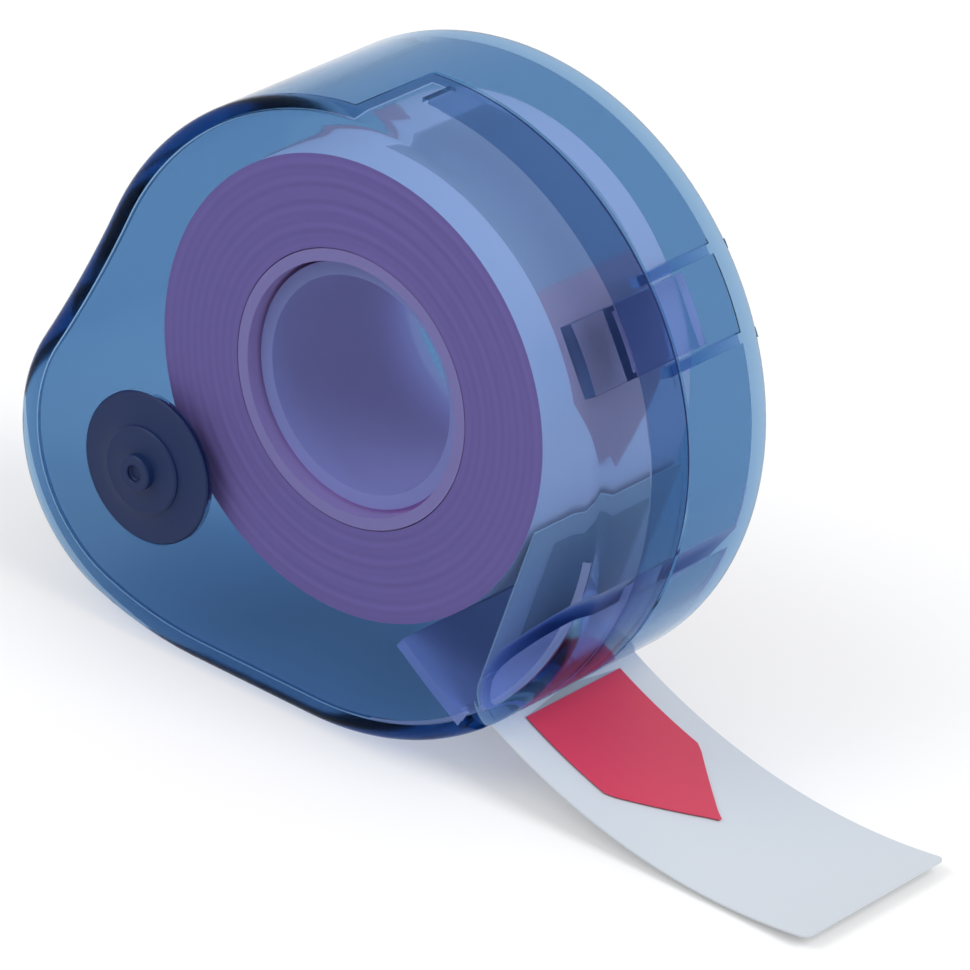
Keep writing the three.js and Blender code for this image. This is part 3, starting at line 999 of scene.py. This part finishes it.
def plain_finish(name, hex_colour, roughness, gloss=0.5):
    material = new_material(name)
    skin = moulded_skin(material, GRAINS_PER_MM, SOFT, GRAIN_DEPTH)
    body = node(
        material, "ShaderNodeBsdfPrincipled", Base_Color=linear(hex_colour),
        Roughness=roughness, Specular_IOR_Level=gloss, Normal=skin)
    node(material, "ShaderNodeOutputMaterial", Surface=body.outputs["BSDF"])
    return material


# The stud's dark navy is partly painted shade: it stands in for the shadow and the deep tinted plastic round
# the boss in the lobe.
STUD_DARK_AND_PAINTED_SHADE = plain_finish("dark_styrene_with_painted_shade", "10244E", 0.5, 0.25)
FLAG_FILM = plain_finish("printed_red_film", "C03450", 0.4)
WOUND_FACE = plain_finish("outer_turn_of_liner", "F0E6F4", 0.4)
LINER_PAPER = plain_finish("silicone_coated_liner", "C0C7CE", 0.3)
CORE_CARD = plain_finish("wound_card", "F0B4D2", 0.8)
# Painted shade: the groove floor is dark navy to stand in for the shade along the seam.
GROOVE_PAINTED_SHADE = plain_finish("parting_groove_painted_shade", "222C5C", 0.6, 0.2)

# %% [markdown]
# ## See-through film
# The tails of the flags are clear film, and the printed film on the roll looks faint through the case.
# A true glass sheet this thin would cost many bounces and bend nothing, so a share of the film's shade
# is laid over a clear shader.

# %% See-through film
FILM_ROUGHNESS = 0.3
FILM_COVER = 0.14


def see_through_film(name, hex_colour):
    material = new_material(name)
    skin = moulded_skin(material, GRAINS_PER_MM, SOFT, GRAIN_DEPTH)
    film = node(
        material, "ShaderNodeBsdfPrincipled", Base_Color=linear(hex_colour),
        Roughness=FILM_ROUGHNESS, Normal=skin)
    clear = node(material, "ShaderNodeBsdfTransparent")
    both = node(
        material, "ShaderNodeMixShader", i0=FILM_COVER, i1=clear.outputs["BSDF"], i2=film.outputs["BSDF"])
    node(material, "ShaderNodeOutputMaterial", Surface=both.outputs["Shader"])
    return material


TAIL_FILM = see_through_film("clear_film_tail", "8296A2")
ROLL_FILM = see_through_film("printed_film_on_the_roll", "C84468")

# %% [markdown]
# ## Frosted styrene
# The hub and the walls of the throat are the same styrene with a matt mould face, so they scatter light
# and look paler and milky. Half diffuse and half clear gives that, with rough transmission in between.

# %% Frosted styrene
FROST_ROUGHNESS = 0.5
FROST_LAMP_TINT = "F0E6F6"


def frosted_styrene(name, hex_colour, clearness):
    material = new_material(name)
    skin = moulded_skin(material, GRAINS_PER_MM, SATIN, GRAIN_DEPTH)
    body = node(
        material, "ShaderNodeBsdfPrincipled", Base_Color=linear(hex_colour), Roughness=FROST_ROUGHNESS,
        Transmission_Weight=clearness, IOR=STYRENE_INDEX, Normal=skin)
    lamp_pass = node(material, "ShaderNodeBsdfTransparent", Color=linear(FROST_LAMP_TINT))
    path = node(material, "ShaderNodeLightPath")
    mixed = node(
        material, "ShaderNodeMixShader", i0=path.outputs["Is Shadow Ray"],
        i1=body.outputs["BSDF"], i2=lamp_pass.outputs["BSDF"])
    node(material, "ShaderNodeOutputMaterial", Surface=mixed.outputs["Shader"])
    return material


HUB_PLASTIC = frosted_styrene("frosted_tinted_styrene", "F4DAF4", 0.3)
BAFFLE_PLASTIC = frosted_styrene("satin_tinted_styrene", "D4D0F2", 0.5)

# %% [markdown]
# ## Edges of the wound liner
# The sides of the roll show the slit edges of liner and red film in turn, which blend to mauve.
# Rings round the roll's own centre draw them. A real turn is about a sixth of a millimetre,
# which the picture can't show, so the rings are drawn nearly a millimetre apart.

# %% Wound edges
TURN_PITCH = 0.9
WAVES_PER_TAU = 20
RING_WANDER = 0.6
RING_DEPTH = 0.1
RING_RELIEF = 0.06
EDGE_ROUGHNESS = 0.6


def wound_finish(name, pale_hex, deep_hex):
    material = new_material(name)
    place = node(material, "ShaderNodeTexCoord").outputs["Object"]
    centred = node(
        material, "ShaderNodeMapping", Vector=place, Location=(-ROLL[0] * MM, 0, -ROLL[1] * MM))
    turns = node(
        material, "ShaderNodeTexWave", {"wave_type": "RINGS", "rings_direction": "Y"},
        Vector=centred.outputs["Vector"], Scale=math.tau / (WAVES_PER_TAU * TURN_PITCH * MM),
        Distortion=RING_WANDER)
    tint = node(
        material, "ShaderNodeMix", {"data_type": "RGBA"}, i0=turns.outputs["Fac"],
        i6=linear(pale_hex), i7=linear(deep_hex))
    bump = node(
        material, "ShaderNodeBump", Height=turns.outputs["Fac"],
        Strength=RING_RELIEF, Distance=RING_DEPTH * MM)
    body = node(
        material, "ShaderNodeBsdfPrincipled", Base_Color=tint.outputs[2],
        Roughness=EDGE_ROUGHNESS, Normal=bump.outputs["Normal"])
    node(material, "ShaderNodeOutputMaterial", Surface=body.outputs["BSDF"])
    return material


WOUND_EDGE = wound_finish("slit_edges_of_wound_liner", "D092C0", "CA8CBA")

# %% [markdown]
# ## Finishes on the pieces
# A piece that is one moulding stays one mesh, and where its surface changes, faces get another slot.
# The roll has its outer turn apart from its slit edges, and a flag has its clear tail.

# %% Dress the pieces
FINISHES = [
    (case_rear, [CASE_PLASTIC, HUB_PLASTIC, TONGUE_PAINTED_HIGHLIGHT, BAFFLE_PLASTIC, GROOVE_PAINTED_SHADE]),
    (front_cover, [CASE_PLASTIC, HUB_PLASTIC, TONGUE_PAINTED_HIGHLIGHT, BAFFLE_PLASTIC, GROOVE_PAINTED_SHADE]),
    (stud, [STUD_DARK_AND_PAINTED_SHADE]),
    (core, [CORE_CARD]),
    (wound, [WOUND_EDGE, WOUND_FACE]),
    (strip, [LINER_PAPER]),
    (arrow, [FLAG_FILM, TAIL_FILM]),
    (turn_flags[0], [ROLL_FILM, TAIL_FILM]),
    (turn_flags[1], [ROLL_FILM, TAIL_FILM]),
    (turn_flags[2], [ROLL_FILM, TAIL_FILM]),
]
HALF_TURNED = 0.5
OUTER_TURN = 1

for piece, materials in FINISHES:
    for material in materials:
        piece.data.materials.append(material)
    print(piece.name, "wears", [material.name for material in materials])


def on_outer_turn(face):
    faces_out = abs(face.normal.y) < HALF_TURNED
    return faces_out and math.dist(ROLL, spot_of(face.center)) > ROLL_RADIUS - OUTER_TURN


for face in wound.data.polygons:
    if on_outer_turn(face):
        face.material_index = 1

# %% [markdown]
# ## Finishes inside the case
# The hub, the throat, the tongue with its painted highlight and the floor of the groove with its painted
# shade are told apart by where their faces lie.
# Faces on the outer skin keep the glossy plastic.

# %% Paint the inside of the case
CASE_SLOTS = {"case": 0, "hub": 1, "tongue": 2, "throat": 3, "groove": 4}
SKIN = 0.05
THROAT_TURNS = (-25, 45)
THROAT_OFF_ROLL = 0.3
TONGUE_SPREAD = 10
TONGUE_REACH = 3
TONGUE_BEHIND = 1
GROOVE_NEAR = 0.03


# Picks the floor of the groove, whose dark navy is painted shade.
def in_painted_shade_groove(spot, y):
    on_floor = abs(math.dist(BIG, spot) - BIG_RADIUS + GROOVE_DEPTH) < GROOVE_NEAR
    return on_floor and SEAM < y < SEAM + GROOVE_WIDTH


def on_hub(spot):
    return abs(math.dist(ROLL, spot) - HUB_OUTER + HUB_WALL / 2) < HUB_WALL


def in_throat(spot):
    past = math.degrees(angle_to(BIG, spot) - SLOT_TURN)
    inside = math.dist(BIG, spot) < BIG_RADIUS - WALL - SKIN
    off_roll = math.dist(ROLL, spot) > ROLL_RADIUS + THROAT_OFF_ROLL
    return inside and THROAT_TURNS[0] < past < THROAT_TURNS[1] and off_roll


def in_tongue(spot, y):
    past = math.degrees(angle_to(BIG, spot) - TONGUE_TURN)
    rim = BIG_RADIUS - WALL
    inside = rim - TONGUE_REACH < math.dist(BIG, spot) < rim - SKIN
    return inside and abs(past) < TONGUE_SPREAD and y > SEAM - LIP_DEPTH - TONGUE_BEHIND


def part_at(spot, y):
    if in_painted_shade_groove(spot, y):
        return "groove"
    if on_hub(spot):
        return "hub"
    if in_throat(spot):
        return "throat"
    if in_tongue(spot, y):
        return "tongue"
    return "case"


for piece in (case_rear, front_cover):
    for face in piece.data.polygons:
        if abs(face.center.y) <= (BACK - WALL - SKIN) * MM:
            face.material_index = CASE_SLOTS[part_at(spot_of(face.center), face.center.y / MM)]
    painted = [face.material_index for face in piece.data.polygons]
    print(piece.name, {part: painted.count(slot) for part, slot in CASE_SLOTS.items()})

# %% [markdown]
# ## Floor
# The photo's ground is pure white, and only the shadow is seen on it. A white plane under white light
# would do, but it would also throw much light up into the case. So the floor is a pale grey
# that glows a little for the camera, for rays through the plastic and for reflections, and for no others.

# %% Floor
FLOOR_METRES = 4
FLOOR_DROP = 0.2
FLOOR_GREY = 0.64
FLOOR_GLOW = 0.25


def add_floor():
    bpy.ops.object.select_all(action="DESELECT")
    bpy.ops.mesh.primitive_plane_add(size=FLOOR_METRES, location=(0, 0, -FLOOR_DROP * MM))
    made = bpy.context.object
    made.name = "floor"
    material = new_material("white_floor")
    paint = node(material, "ShaderNodeBsdfDiffuse", Color=(FLOOR_GREY, FLOOR_GREY, FLOOR_GREY, 1.0))
    glow = node(material, "ShaderNodeEmission", Color=(1.0, 1.0, 1.0, 1.0), Strength=FLOOR_GLOW)
    path = node(material, "ShaderNodeLightPath")
    seen = either(material, path.outputs["Is Camera Ray"], path.outputs["Is Transmission Ray"])
    seen = either(material, seen, path.outputs["Is Glossy Ray"])
    none = node(material, "ShaderNodeEmission", Strength=0.0)
    picked = node(
        material, "ShaderNodeMixShader", i0=seen,
        i1=none.outputs["Emission"], i2=glow.outputs["Emission"])
    both = node(material, "ShaderNodeAddShader", i0=paint.outputs["BSDF"], i1=picked.outputs["Shader"])
    node(material, "ShaderNodeOutputMaterial", Surface=both.outputs["Shader"])
    made.data.materials.append(material)
    return made


floor = add_floor()
print(floor.name, "is", floor.dimensions.x, "metres wide")

# %% [markdown]
# ## Light
# A photo tent lights the object evenly from all sides. The world does that, a little weaker than it looks
# to the camera. Two wide soft lamps, from the front left and from the right, shape the case.

# %% Lamps and world
WORLD_LIGHT = 0.72
WORLD_SEEN = 1.0
LAMP_AIM = (0, 0, 0.03)
LAMPS = [
    ("key_lamp", (-0.5, -0.9, 1.1), (0.8, 0.8), 8.0),
    ("side_lamp", (0.9, 0.0, 1.0), (0.6, 0.8), 9.0),
]


def set_world():
    world = bpy.data.worlds.new("studio")
    scene.world = world
    world.use_nodes = True
    world.node_tree.nodes.clear()
    path = node(world, "ShaderNodeLightPath")
    lit = node(world, "ShaderNodeBackground", Color=(1, 1, 1, 1), Strength=WORLD_LIGHT)
    shown = node(world, "ShaderNodeBackground", Color=(1, 1, 1, 1), Strength=WORLD_SEEN)
    seen = either(world, path.outputs["Is Camera Ray"], path.outputs["Is Transmission Ray"])
    mixed = node(
        world, "ShaderNodeMixShader", i0=seen,
        i1=lit.outputs["Background"], i2=shown.outputs["Background"])
    node(world, "ShaderNodeOutputWorld", Surface=mixed.outputs["Shader"])
    print("the world gives", WORLD_LIGHT, "and shows", WORLD_SEEN)


def add_lamp(name, place, size, power):
    bpy.ops.object.light_add(type="AREA", location=place)
    lamp = bpy.context.object
    lamp.name = name
    lamp.data.shape = "RECTANGLE"
    lamp.data.size = size[0]
    lamp.data.size_y = size[1]
    lamp.data.energy = power
    away = (Vector(place) - Vector(LAMP_AIM)).normalized()
    lamp.rotation_euler = away.to_track_quat("Z", "Y").to_euler()
    print(name, "gives", power, "watts")


set_world()
for name, place, size, power in LAMPS:
    add_lamp(name, place, size, power)
scene.view_settings.view_transform = "Standard"
